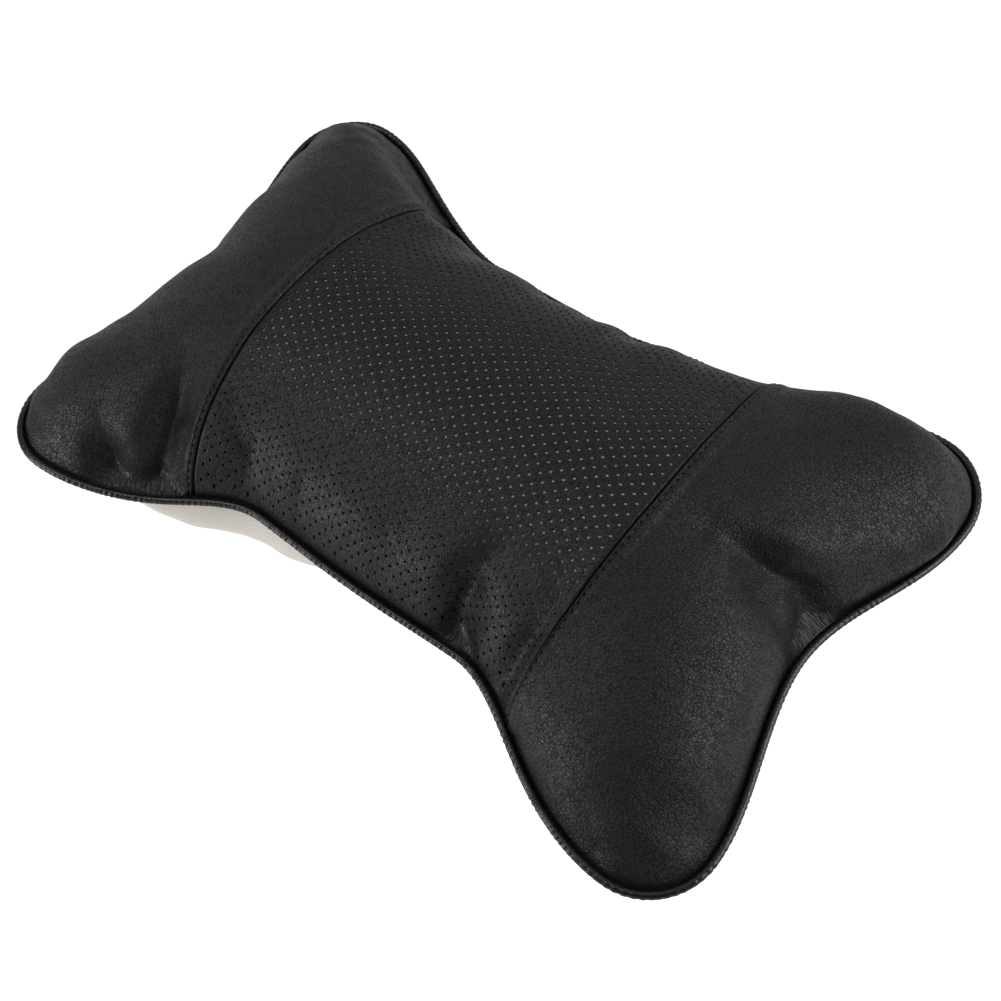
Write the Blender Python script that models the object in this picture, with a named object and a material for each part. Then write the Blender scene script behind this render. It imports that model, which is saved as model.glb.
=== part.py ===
"""Car neck pillow: a bone-shaped cushion for a headrest, lying on its back.

Three leatherette panels make the front, a plain fabric panel makes the back, a corded edge
runs round the seam between them, fibre fills it, and an elastic strap crosses the back.
Metres, +Z up, the length along X. The origin is under the middle, on the resting surface.
"""

import bpy
import numpy as np

# Plan of the seam between front and back
LENGTH = 0.2700
WIDTH = 0.1714
WAIST_WIDTH = 0.1180
END_LENGTH = 0.2440
FLARE_START = 0.0330
LOBE_REACH_X = 0.0240
LOBE_REACH_Y = 0.0270

# Joins between the centre panel and the end panels
JOIN_X = 0.0625
JOIN_BOW = 0.0030
JOIN_DIP = 0.0010
JOIN_DIP_WIDTH = 0.0030

# Padding above and below the seam
FRONT_RISE = 0.0370
BACK_SWELL = 0.0430
BACK_DROP = 0.0340
BACK_BLEND = 0.0060
CROWN_POWER_LENGTH = 8.0
CROWN_POWER_WIDTH = 2.0
CROWN_ROUNDNESS = 0.72

# Thicknesses and clearances
SKIN_THICKNESS = 0.0012
SEAT_GAP = 0.0003
PIPING_RADIUS = 0.0016
STRAP_WIDTH = 0.0250
STRAP_THICKNESS = 0.0012
STRAP_END_MARGIN = 0.0060

# Soft valleys in the front: start and end on the plan, half width and depth
LEFT_FOLD_OUTER = ((-0.097, -0.062), (-0.086, -0.078), 0.0075, 0.0030)
LEFT_FOLD_INNER = ((-0.081, -0.044), (-0.077, -0.072), 0.0080, 0.0040)
RIGHT_CREASE = ((0.094, 0.008), (0.124, 0.012), 0.0085, 0.0055)
CENTRE_FOLD = ((0.036, -0.036), (0.033, -0.054), 0.0070, 0.0032)
JOIN_FOLD = ((0.056, -0.050), (0.058, -0.060), 0.0060, 0.0026)
FAR_LOBE_FOLD = ((-0.094, 0.071), (-0.066, 0.063), 0.0065, 0.0035)
FAR_PUCKER_LEFT = ((-0.014, 0.046), (-0.012, 0.056), 0.0065, 0.0018)
FAR_PUCKER_RIGHT = ((0.020, 0.048), (0.022, 0.057), 0.0065, 0.0018)
FOLDS = (
    LEFT_FOLD_OUTER,
    LEFT_FOLD_INNER,
    RIGHT_CREASE,
    CENTRE_FOLD,
    JOIN_FOLD,
    FAR_LOBE_FOLD,
    FAR_PUCKER_LEFT,
    FAR_PUCKER_RIGHT,
)
FOLD_FADE_RISE = 0.0060

# Facets
CENTRE_COLUMNS = 6
END_COLUMNS = 10
STRAP_ROWS = 2
SIDE_ROWS = 7
EDGE_GRADING = 1.5
CURVE_SAMPLES = 80
RELAX_SWEEPS = 300
PIPING_SIDES_RESOLUTION = 2

HALF_LENGTH = LENGTH / 2
HALF_WIDTH = WIDTH / 2
HALF_WAIST = WAIST_WIDTH / 2
HALF_STRAP = STRAP_WIDTH / 2
LOBE_START_X = HALF_LENGTH - LOBE_REACH_X
LOBE_START_Y = HALF_WIDTH - LOBE_REACH_Y
SEAM_Z = BACK_DROP + STRAP_THICKNESS + SEAT_GAP


def smooth_step(t):
    """An S curve from 0 to 1 that is level at both ends."""
    t = np.clip(t, 0.0, 1.0)
    return t * t * (3.0 - 2.0 * t)


def smooth_min(a, b, blend):
    """The smaller of a and b, rounded where they are closer than blend."""
    overlap = np.maximum(blend - np.abs(a - b), 0.0)
    return np.minimum(a, b) - overlap ** 2 / (4.0 * blend)


def long_side(x):
    """Half width of the plan at x, from the waist to the lobe."""
    flare = smooth_step((np.abs(x) - FLARE_START) / (LOBE_START_X - FLARE_START))
    return HALF_WAIST + (HALF_WIDTH - HALF_WAIST) * flare


def end_side(y):
    """Half length of the plan at y, from the middle of the end to the lobe."""
    flare = smooth_step(np.abs(y) / LOBE_START_Y)
    return END_LENGTH / 2 + (HALF_LENGTH - END_LENGTH / 2) * flare


def lobe_corner(angle):
    """A point on the round corner of a lobe, at an angle from the length axis."""
    x = LOBE_START_X + LOBE_REACH_X * np.cos(angle)
    y = LOBE_START_Y + LOBE_REACH_Y * np.sin(angle)
    return np.stack([x, y], axis=-1)


def resample(points, fractions):
    """Points at the given fractions of a curve's length."""
    steps = np.hypot(*np.diff(points, axis=0).T)
    along = np.concatenate([[0.0], np.cumsum(steps)])
    along /= along[-1]
    x = np.interp(fractions, along, points[:, 0])
    y = np.interp(fractions, along, points[:, 1])
    return np.stack([x, y], axis=-1)


def edge_beside_lobe(fractions):
    """The long side from the join to the middle of the lobe."""
    x = np.linspace(JOIN_X, LOBE_START_X, CURVE_SAMPLES)
    side = np.stack([x, long_side(x)], axis=-1)
    corner = lobe_corner(np.linspace(np.pi / 2, np.pi / 4, CURVE_SAMPLES))
    return resample(np.concatenate([side, corner[1:]]), fractions)


def edge_at_end(fractions):
    """The end from the strap's edge to the middle of the lobe."""
    y = np.linspace(HALF_STRAP, LOBE_START_Y, CURVE_SAMPLES)
    side = np.stack([end_side(y), y], axis=-1)
    corner = lobe_corner(np.linspace(0.0, np.pi / 4, CURVE_SAMPLES))
    return resample(np.concatenate([side, corner[1:]]), fractions)


def join_x(v):
    """The join's distance from the middle, v being 0 on the axis and 1 at the edge."""
    return JOIN_X + JOIN_BOW * (1.0 - v ** 2)


def graded(count):
    """Fractions from 0 to 1 that crowd towards 1."""
    return 1.0 - (1.0 - np.linspace(0.0, 1.0, count + 1)) ** EDGE_GRADING


def column_values():
    """u of each grid column: 0 at the middle, 1 at the end, and the join's column."""
    u_join = JOIN_X / HALF_LENGTH
    u_dip = JOIN_DIP_WIDTH / HALF_LENGTH
    centre = np.linspace(0.0, u_join - u_dip, CENTRE_COLUMNS)
    end = u_join + u_dip + (1.0 - u_join - u_dip) * graded(END_COLUMNS)
    return np.concatenate([centre, [u_join], end]), len(centre)


def row_values():
    """v of each grid row: 0 on the axis, 1 at the edge, and the strap edge's row."""
    v_strap = HALF_STRAP / HALF_WAIST
    strap = np.linspace(0.0, v_strap, STRAP_ROWS + 1)
    side = v_strap + (1.0 - v_strap) * graded(SIDE_ROWS)
    return np.concatenate([strap, side[1:]]), STRAP_ROWS


def relax(plan, u, v):
    """Spreads the inner points of a block evenly, its four sides held."""
    left, right = [np.diff(u * HALF_LENGTH)[part, None, None] for part in (slice(None, -1), slice(1, None))]
    below, above = [np.diff(v * HALF_WIDTH)[None, part, None] for part in (slice(None, -1), slice(1, None))]
    across = 2.0 / (left + right)
    along = 2.0 / (below + above)
    total = across * (1.0 / left + 1.0 / right) + along * (1.0 / below + 1.0 / above)
    for _ in range(RELAX_SWEEPS):
        in_u = across * (plan[:-2, 1:-1] / left + plan[2:, 1:-1] / right)
        in_v = along * (plan[1:-1, :-2] / below + plan[1:-1, 2:] / above)
        plan[1:-1, 1:-1] = (in_u + in_v) / total


def quarter_plan():
    """Plan positions of one quarter of the grid, with the u and v of its lines."""
    u, join = column_values()
    v, strap = row_values()
    plan = np.zeros((len(u), len(v), 2))
    side_share = np.clip((v - v[strap]) / (1.0 - v[strap]), 0.0, 1.0)
    strap_y = np.minimum(v, v[strap]) * HALF_WAIST

    x = np.outer(u[:join + 1] / u[join], join_x(v))
    plan[:join + 1, :, 0] = x
    plan[:join + 1, :, 1] = strap_y + side_share * (long_side(x) - HALF_STRAP)

    end_share = (u[join:] - u[join]) / (1.0 - u[join])
    start = plan[join]
    finish = np.stack([end_side(strap_y), strap_y], axis=-1)
    finish[strap:] = edge_at_end(side_share[strap:])
    plan[join:] = start[None] + (finish - start)[None] * end_share[:, None, None]
    plan[join:, -1] = edge_beside_lobe(end_share)
    relax(plan[join:, strap:], u[join:], v[strap:])
    return plan, u, v, join, strap


def mirrored(values, sign):
    """Adds the mirror image of values in front of them."""
    return np.concatenate([sign * values[:0:-1], values])


def full_plan():
    """Plan positions of the whole grid, with the u and v of its lines."""
    plan, u, v, join, strap = quarter_plan()
    halves = np.concatenate([plan[:0:-1] * (-1.0, 1.0), plan])
    whole = np.concatenate([halves[:, :0:-1] * (1.0, -1.0), halves], axis=1)
    joins = (len(u) - 1 - join, len(u) - 1 + join)
    strap_rows = slice(len(v) - 1 - strap, len(v) + strap)
    return whole, mirrored(u, -1.0), mirrored(v, -1.0), joins, strap_rows


def crown(u, v):
    """Share of the full rise: 1 in the middle, 0 on the seam."""
    lengthwise = 1.0 - np.abs(u) ** CROWN_POWER_LENGTH
    crosswise = 1.0 - np.abs(v) ** CROWN_POWER_WIDTH
    return np.clip(lengthwise[:, None] * crosswise[None], 0.0, 1.0) ** CROWN_ROUNDNESS


def fold_depth(plan):
    """Depth of all the folds at each plan position."""
    depth = np.zeros(plan.shape[:2])
    for start, end, half_width, fold in FOLDS:
        start = np.array(start)
        run = np.array(end) - start
        share = np.clip((plan - start) @ run / (run @ run), 0.0, 1.0)
        away = np.linalg.norm(plan - start - share[..., None] * run, axis=-1)
        depth += fold * np.exp(-(away / half_width) ** 2)
    return depth


def unit(vectors):
    """Vectors scaled to length 1."""
    return vectors / np.linalg.norm(vectors, axis=-1, keepdims=True)


def normals(surface, up):
    """Unit normals of a grid surface, level and square to the outline on its edge."""
    along = np.gradient(surface, axis=0)
    across = np.gradient(surface, axis=1)
    normal = unit(np.cross(along, across) * up)
    ring = edge_ring(*surface.shape[:2])
    points = np.array([surface[i, j] for i, j in ring])
    tangent = np.roll(points, -1, axis=0) - np.roll(points, 1, axis=0)
    outward = unit(np.cross(tangent, (0.0, 0.0, 1.0)))
    for (i, j), direction in zip(ring, outward):
        normal[i, j] = direction
    return normal


def edge_ring(columns, rows):
    """Grid indices once round the edge, counter-clockwise from above."""
    front = [(i, 0) for i in range(columns - 1)]
    right = [(columns - 1, j) for j in range(rows - 1)]
    back = [(i, rows - 1) for i in range(columns - 1, 0, -1)]
    left = [(0, j) for j in range(rows - 1, 0, -1)]
    return front + right + back + left


def front_surface(plan, u, v, joins):
    """Outer face of the front, with its folds and the dips at the joins."""
    rise = FRONT_RISE * crown(u, v)
    fade = np.clip(rise / FOLD_FADE_RISE, 0.0, 1.0)
    height = rise - fold_depth(plan) * fade
    for join in joins:
        height[join] -= JOIN_DIP * fade[join]
    surface = np.dstack([plan, SEAM_Z + height])
    return surface, normals(surface, 1.0)


def back_surface(plan, u, v):
    """Outer face of the back, flat where it rests."""
    drop = smooth_min(BACK_SWELL * crown(u, v), BACK_DROP, BACK_BLEND)
    surface = np.dstack([plan, SEAM_Z - np.maximum(drop, 0.0)])
    return surface, normals(surface, -1.0)


def grid_triangles(columns, rows, first, flip):
    """Triangles of a grid of points, all cut along the same diagonal."""
    triangles = []
    for i in range(columns - 1):
        for j in range(rows - 1):
            a = first + i * rows + j
            b, c, d = a + rows, a + rows + 1, a + 1
            triangles += [(a, c, b), (a, d, c)] if flip else [(a, b, c), (a, c, d)]
    return triangles


def rim_triangles(columns, rows, first, second):
    """Triangles that join the edges of two grids of the same shape."""
    ring = [i * rows + j for i, j in edge_ring(columns, rows)]
    triangles = []
    for a, b in zip(ring, ring[1:] + ring[:1]):
        triangles += [(second + a, second + b, first + b), (second + a, first + b, first + a)]
    return triangles


def shell(name, upper, lower, material):
    """A closed sheet between two grids, the first one on top."""
    columns, rows = upper.shape[:2]
    count = columns * rows
    points = np.concatenate([upper.reshape(-1, 3), lower.reshape(-1, 3)])
    faces = grid_triangles(columns, rows, 0, False)
    faces += grid_triangles(columns, rows, count, True)
    faces += rim_triangles(columns, rows, 0, count)
    return add_mesh(name, points, faces, material)


def closed_body(name, upper, lower, material):
    """A closed body between two grids that share their edge."""
    columns, rows = upper.shape[:2]
    count = columns * rows
    shared = {i * rows + j for i, j in edge_ring(columns, rows)}
    index = {}
    points = list(upper.reshape(-1, 3))
    for k, point in enumerate(lower.reshape(-1, 3)):
        if k in shared:
            index[count + k] = k
        else:
            index[count + k] = len(points)
            points.append(point)
    faces = grid_triangles(columns, rows, 0, False)
    for face in grid_triangles(columns, rows, count, True):
        faces.append(tuple(index[k] for k in face))
    return add_mesh(name, points, faces, material)


def add_mesh(name, points, faces, material):
    """A smooth-shaded object made from points and faces."""
    mesh = bpy.data.meshes.new(name)
    mesh.from_pydata([tuple(map(float, point)) for point in points], [], faces)
    mesh.update()
    mesh.shade_smooth()
    mesh.materials.append(material)
    item = bpy.data.objects.new(name, mesh)
    bpy.context.scene.collection.objects.link(item)
    return item


def make_material(name, color, roughness):
    """A plain surface of one colour."""
    material = bpy.data.materials.new(name)
    material.use_nodes = True
    shader = material.node_tree.nodes["Principled BSDF"]
    shader.inputs["Base Color"].default_value = (*color, 1.0)
    shader.inputs["Roughness"].default_value = roughness
    shader.inputs["Metallic"].default_value = 0.0
    return material


def raise_edge(surface, lift):
    """A copy of a surface with its outer edge moved up or down."""
    lifted = surface.copy()
    for edge in (np.s_[0], np.s_[-1], np.s_[1:-1, 0], np.s_[1:-1, -1]):
        lifted[edge][..., 2] += lift
    return lifted


def add_front_panels(surface, normal, joins, leather, perforated):
    """Three leatherette panels, sewn edge to edge over the front."""
    outer = raise_edge(surface, SEAT_GAP / 2)
    inner = outer - normal * SKIN_THICKNESS
    left, right = joins
    last = len(surface) - 1
    spans = (
        ("left_end_panel", 0, left, leather),
        ("centre_panel", left, right, perforated),
        ("right_end_panel", right, last, leather),
    )
    for name, start, end, material in spans:
        faces = [layer[start:end + 1].copy() for layer in (outer, inner)]
        for layer in faces:
            if start > 0:
                layer[0, :, 0] += SEAT_GAP / 2
            if end < last:
                layer[-1, :, 0] -= SEAT_GAP / 2
        shell(name, faces[0], faces[1], material)


def add_back_panel(surface, normal, fabric):
    """One fabric panel over the whole back."""
    outer = raise_edge(surface, -SEAT_GAP / 2)
    shell("back_panel", outer - normal * SKIN_THICKNESS, outer, fabric)


def add_filling(front, front_normal, back, back_normal, fibre):
    """The fibre filling, a little smaller than the cover all round."""
    depth = SKIN_THICKNESS + SEAT_GAP
    closed_body("filling", front - front_normal * depth, back - back_normal * depth, fibre)


def add_piping(surface, normal, leather):
    """The corded edge, a round tube once round the seam."""
    curve = bpy.data.curves.new("piping", "CURVE")
    curve.dimensions = "3D"
    curve.bevel_depth = PIPING_RADIUS
    curve.bevel_resolution = PIPING_SIDES_RESOLUTION
    ring = edge_ring(surface.shape[0], surface.shape[1])
    spline = curve.splines.new("POLY")
    spline.points.add(len(ring) - 1)
    for point, (i, j) in zip(spline.points, ring):
        place = surface[i, j] + normal[i, j] * (PIPING_RADIUS + SEAT_GAP)
        point.co = (*map(float, place), 1.0)
    spline.use_cyclic_u = True
    spline.use_smooth = True
    curve.materials.append(leather)
    item = bpy.data.objects.new("piping", curve)
    bpy.context.scene.collection.objects.link(item)


def add_elastic_strap(surface, normal, strap_rows, elastic):
    """A flat elastic band along the back, its ends sewn down near the end seams."""
    reach = END_LENGTH / 2 - STRAP_END_MARGIN
    middle = surface.shape[1] // 2
    columns = np.where(np.abs(surface[:, middle, 0]) <= reach)[0]
    band = np.s_[columns[0]:columns[-1] + 1, strap_rows]
    upper = surface[band] + normal[band] * SEAT_GAP
    lower = surface[band] + normal[band] * (SEAT_GAP + STRAP_THICKNESS)
    shell("elastic_strap", upper, lower, elastic)


def clear_scene():
    """Removes whatever the scene starts with."""
    for item in list(bpy.data.objects):
        bpy.data.objects.remove(item, do_unlink=True)


def build():
    """Makes every piece of the pillow."""
    clear_scene()
    leather = make_material("leatherette", (0.022, 0.022, 0.024), 0.48)
    perforated = make_material("perforated_leatherette", (0.020, 0.020, 0.022), 0.52)
    cord_wrap = make_material("piping_leatherette", (0.018, 0.018, 0.020), 0.42)
    fabric = make_material("cream_fabric", (0.74, 0.68, 0.58), 0.85)
    fibre = make_material("white_fibre", (0.82, 0.82, 0.80), 0.95)
    elastic = make_material("black_elastic", (0.030, 0.030, 0.032), 0.80)

    plan, u, v, joins, strap_rows = full_plan()
    front, front_normal = front_surface(plan, u, v, joins)
    back, back_normal = back_surface(plan, u, v)
    add_front_panels(front, front_normal, joins, leather, perforated)
    add_back_panel(back, back_normal, fabric)
    add_filling(front, front_normal, back, back_normal, fibre)
    add_piping(front, front_normal, cord_wrap)
    add_elastic_strap(back, back_normal, strap_rows, elastic)


build()
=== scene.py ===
"""Car neck pillow, dressed: sewn leatherette front, corded edge, cream back and elastic strap."""

import math

import bpy
import numpy as np
from mathutils import Matrix, Vector
from mathutils.geometry import delaunay_2d_cdt
from mathutils.kdtree import KDTree


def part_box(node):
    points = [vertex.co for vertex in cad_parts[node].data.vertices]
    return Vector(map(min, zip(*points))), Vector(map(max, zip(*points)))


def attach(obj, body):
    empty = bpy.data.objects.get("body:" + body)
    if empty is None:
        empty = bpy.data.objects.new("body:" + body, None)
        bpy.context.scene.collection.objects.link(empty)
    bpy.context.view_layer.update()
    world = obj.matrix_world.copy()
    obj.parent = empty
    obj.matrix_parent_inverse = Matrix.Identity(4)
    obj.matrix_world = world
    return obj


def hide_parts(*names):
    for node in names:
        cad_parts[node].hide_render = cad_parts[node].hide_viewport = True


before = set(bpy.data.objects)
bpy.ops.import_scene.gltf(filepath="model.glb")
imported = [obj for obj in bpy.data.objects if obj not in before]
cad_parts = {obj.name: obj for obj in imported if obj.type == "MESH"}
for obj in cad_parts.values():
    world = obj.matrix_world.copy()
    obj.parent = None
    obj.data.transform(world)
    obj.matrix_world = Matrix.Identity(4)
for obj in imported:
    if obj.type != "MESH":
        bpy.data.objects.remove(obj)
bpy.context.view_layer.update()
SCENE = bpy.context.scene

# The outline along the seam, once sewn and filled, and as cut flat: length, width, waist,
# end width, start of the flare, reach of the lobes in x and y, join, bow of the join
SEWN = (0.2700, 0.1720, 0.1188, 0.2410, 0.0410, 0.0190, 0.0205, 0.0655, 0.0030)
FLAT = (0.2860, 0.1866, 0.1488, 0.2740, 0.0400, 0.0205, 0.0225, 0.0685, 0.0)
FLARE_POWER = 0.92
RELAX_PASSES = 1500
GRADE_U, GRADE_V = 1.25, 1.2

# Heights, and the numbers that bring the simulated cover to its shape
SEAM_Z = 0.0355
BACK_DROP = 0.0340
BACK_BLEND = 0.0035
FRONT_SCALE = 0.954
STEEPEN_FRONT = 0.0082
STEEPEN_BACK = 0.0060
STEEPEN_HEIGHT = 0.0118
SEAT_GAP = 0.0003
SKIN = 0.0005

# Cloth simulation of the sewn cover, and the calming of its finer wrinkles
COLUMNS_CENTRE, COLUMNS_END, ROWS = ((16, 16, 17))
CLOTH_FRAMES = 30
SEWN_FRAME = 12
PRESSURE = 20.0
START_CROWN = 0.004
CALM_PASSES = 10
CALM_STEP = 0.6
WRINKLE_SHARE = 0.12

# Meshes: step away from a join, rows of an end panel, cells of the back for each cell of the
# cover, and distances in millimetres from a join or an edge
PANEL_STEP = 0.0007
PANEL_ROWS = 270
BACK_CELLS = 6
NEAR_JOIN_MM = [0, .15, .3, .5, .7, .9, 1.1, 1.3, 1.5, 1.7, 1.9, 2.1, 2.4, 2.8, 3.3, 3.9, 4.6]
JOIN_STRIPS_MM = (.15, .3, .5, .75, 1.0, 1.3, 1.8, 2.4)
EDGE_STRIPS_MM = (.4, .9, 1.5, 2.2)

# Joins: the edges roll into a groove, and the end panels have a ridge with a sunk topstitch
JOIN_DEPTH = 0.0010
JOIN_SHOULDER = 0.0009
RIDGE_HEIGHT = 0.00055
RIDGE_RISE = 0.0009
RIDGE_TOP, RIDGE_FALL = 0.0030, 0.0032
GROOVE_DEPTH, GROOVE_HALF = 0.00085, 0.00036
STITCH_OFFSET = 0.0016
STITCH_PITCH = 0.0029
STITCH_LENGTH = 0.0024
STITCH_LIFT, STITCH_DIVE = 0.00016, 0.00055
THREAD_RADIUS = 0.00028
THREAD_SIDES = 6

# Perforations, in the flat panel; lip, around and clear are shares of the radius
HOLE_RADIUS = 0.00046
HOLE_PITCH_X = 0.0047
HOLE_PITCH_Y = 0.0042
HOLE_COLUMNS = 16
HOLE_SIDES = 8
HOLE_MARGIN_JOIN = 0.0021
HOLE_MARGIN_EDGE = 0.0016
HOLE_LIP, HOLE_AROUND, HOLE_CLEAR = 1.55, 2.9, 1.9
HOLE_DIP = 0.00010

# Fibre: cells that it stays inside the seam, and how much deeper than the skin it lies near a
# join, near the seam, toward the front of the waist and under the end panels
FILL_INSET = 1.3
FIBRE_AT_JOIN, FIBRE_JOIN_REACH = 0.0016, 0.003
FIBRE_AT_SEAM, FIBRE_SEAM_REACH = 0.0018, 0.016
FIBRE_AT_FRONT, FIBRE_FRONT_Y, FIBRE_FRONT_REACH = 0.0010, -0.022, 0.040
FIBRE_UNDER_ENDS = 0.0015
FIBRE_OFF_BACK = 0.0020

# Corded edge: a puckered tube, and the flange caught in the seam
PIPING_RADIUS = 0.00132
PIPING_STEP = 0.00042
PIPING_SIDES = 12
PUCKER_WAVES, PUCKER_TURNS = 14, (330, 560)
PUCKER_SHARE = 0.045
FLANGE_IN, FLANGE_OUT, FLANGE_HALF = 0.004, 0.001, 0.0001

# Elastic strap
STRAP_HALF_WIDTH = 0.0125
STRAP_THICKNESS = 0.0012
STRAP_GRID = ((400, 41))
RIB_HEIGHT, RIB_PITCH = 0.00008, 0.0021
SELVEDGE_THINNING, SELVEDGE_WIDTH = 0.0004, 0.0008
STRAP_SKIN_GAP = 0.0001

# Relief near the seam and over the whole front
SEAM_FADE, SEAM_FADE_POWER = 0.0026, 1.4
SLACK_HEIGHT, SLACK_WAVE, SLACK_COUNT, SLACK_SEED = 0.00006, 0.022, 24, 5
GATHER_HEIGHT, GATHER_START, GATHER_REACH = 0.00012, 0.0012, 0.005
GATHER_PITCH, GATHER_DRIFT, GATHER_SWELL = 0.0095, 0.031, 0.083

# A fold's depth: its share where the line starts, the share of the line over which it deepens,
# its peak, and the raised rim beside it with that rim's reach
FOLD_START, FOLD_DEEPENING = 0.3, 0.6
FOLD_PEAK, FOLD_RIM, FOLD_RIM_REACH = 1.12, 0.16, 2.3

# Folds on the front: points of the valley line on the plan, depth, and how far it reaches to
# the left and to the right of the line's direction
FOLDS = (
    (((-0.083, -0.04), (-0.0778, -0.0556), (-0.0761, -0.0646), (-0.0747, -0.074)),
     0.0074, 0.0074, 0.0062),
    (((-0.0985, -0.069), (-0.0925, -0.0765), (-0.085, -0.081)), 0.0068, 0.008, 0.0058),
    (((0.087, 0.004), (0.094, 0.0052), (0.104, 0.007), (0.111, 0.0082), (0.118, 0.0112)),
     0.0088, 0.0054, 0.012),
    (((0.039, -0.04), (0.0368, -0.049), (0.0356, -0.056)), 0.0062, 0.008, 0.005),
    (((0.04, -0.0565), (0.0403, -0.059)), 0.0018, 0.004, 0.004),
    (((0.064, -0.04), (0.0612, -0.052), (0.0596, -0.06)), 0.0032, 0.0056, 0.005),
    (((-0.048, -0.044), (-0.0475, -0.056)), 0.0014, 0.006, 0.006),
    (((-0.0275, -0.046), (-0.0265, -0.057)), 0.0012, 0.006, 0.006),
    (((-0.108, 0.077), (-0.064, 0.062)), 0.0032, 0.0055, 0.0055),
    (((-0.014, 0.045), (-0.012, 0.056)), 0.0018, 0.006, 0.006),
    (((0.004, 0.046), (0.005, 0.056)), 0.0014, 0.005, 0.005),
    (((0.02, 0.047), (0.022, 0.057)), 0.0018, 0.006, 0.006),
)

# Where the filled cover lies off its symmetrical shape: place on the plan, and shift
NUDGES = (
    ((0.045, 0.06), (0.0005, 0.0051, 0.0039)),
    ((-0.08, -0.078), (0.0028, 0.0, -0.0024)),
    ((-0.122, 0.0), (-0.0005, 0.0015, 0.0019)),
    ((-0.128, -0.05), (0.0015, 0.0, 0.0)),
    ((-0.128, 0.05), (0.0016, 0.0, 0.0)),
    ((0.128, 0.05), (0.0013, -0.0004, -0.0007)),
    ((-0.08, 0.078), (-0.0008, -0.0015, 0.0)),
    ((0.08, -0.078), (-0.0005, -0.0013, 0.0)),
    ((0.128, -0.05), (0.0, -0.0013, 0.0)),
    ((-0.045, -0.06), (0.0, 0.0012, 0.0009)),
    ((0.045, -0.06), (0.0, 0.0012, 0.0005)),
)
NUDGE_REACH = 0.028

# Places where only the front or only the back swells, the seam staying where it is: place,
# reach and shift
FRONT_SWELLS = (
    ((0.088, 0.07), 0.02, (0.0, 0.003, 0.0035)),
    ((0.112, 0.066), 0.018, (0.0018, 0.0036, 0.0034)),
    ((-0.124, -0.058), 0.02, (-0.0044, -0.0006, 0.0026)),
    ((-0.118, 0.074), 0.018, (-0.0018, 0.0016, 0.0026)),
    ((0.132, 0.05), 0.019, (0.0056, 0.0034, 0.0022)),
)
BACK_SWELLS = (
    ((-0.066, -0.062), 0.022, (0.0, -0.0064, -0.006)),
    ((-0.038, -0.055), 0.021, (0.0, -0.0058, -0.007)),
)
SWELL_FADE = 0.0040

# Grain: how far the pebbles are warped and stretched, and the scale, width and strength of the
# two layers of creases
# A crease's strength sets both its bump and the painted shade in it.
GRAIN_WARP, GRAIN_STRETCH = 1.1, (0.62, 1.15)
COARSE_CREASES, FINE_CREASES = (1.0, 0.30, 0.80), (1.8, 0.34, 0.40)
PORE_HEIGHT = 0.12

# Soft lamps: name, place, size and power
LAMPS = (
    ("overhead", (-0.10, 0.10, 1.10), 1.0, 1.15),
    ("left_front", (-0.50, -0.38, 0.90), 0.5, 1.8),
    ("right", (0.80, 0.40, 0.50), 0.75, 5.0),
    ("behind", (-0.10, 1.10, 0.60), 1.2, 1.8),
    ("behind_left", (-0.80, 0.65, 0.50), 0.6, 0.6),
    ("front", (0.25, -1.00, 0.55), 0.8, 0.15),
    ("left_low", (-1.05, 0.10, 0.22), 0.5, 0.9),
    ("front_left_low", (-0.60, -0.90, 0.20), 0.4, 3.0),
)
AMBIENT = 0.055

# The floor's glow as the camera sees it near the pillow, rising to white farther away, and the
# glow that diffuse rays and glossy rays meet
FLOOR_HALF = 30
FLOOR_COLOUR = (0.80, 0.80, 0.80, 1)
FLOOR_GLOW = 0.66
GLOW_NEAR, GLOW_FAR = 0.5, 2.0
FLOOR_BOUNCE = 0.6
FLOOR_SHINE = 0.15

# Azimuth, elevation, distance, roll, focal length in pixels, and x and y of the point looked at
CAMERA = (46.4, 58.4, 0.5093, -8.9, 1630.9, 0.0172, -0.0102)
IMAGE_WIDTH = 1001
SENSOR_MM = 36


# Plan

def smooth_step(t):
    t = np.clip(t, 0.0, 1.0)
    return t * t * (3.0 - 2.0 * t)


def smooth_min(a, b, blend):
    """The smaller of a and b, rounded where they are within the blend of each other."""
    overlap = np.maximum(blend - np.abs(a - b), 0.0)
    return np.minimum(a, b) - overlap ** 2 / (4.0 * blend)


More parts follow.
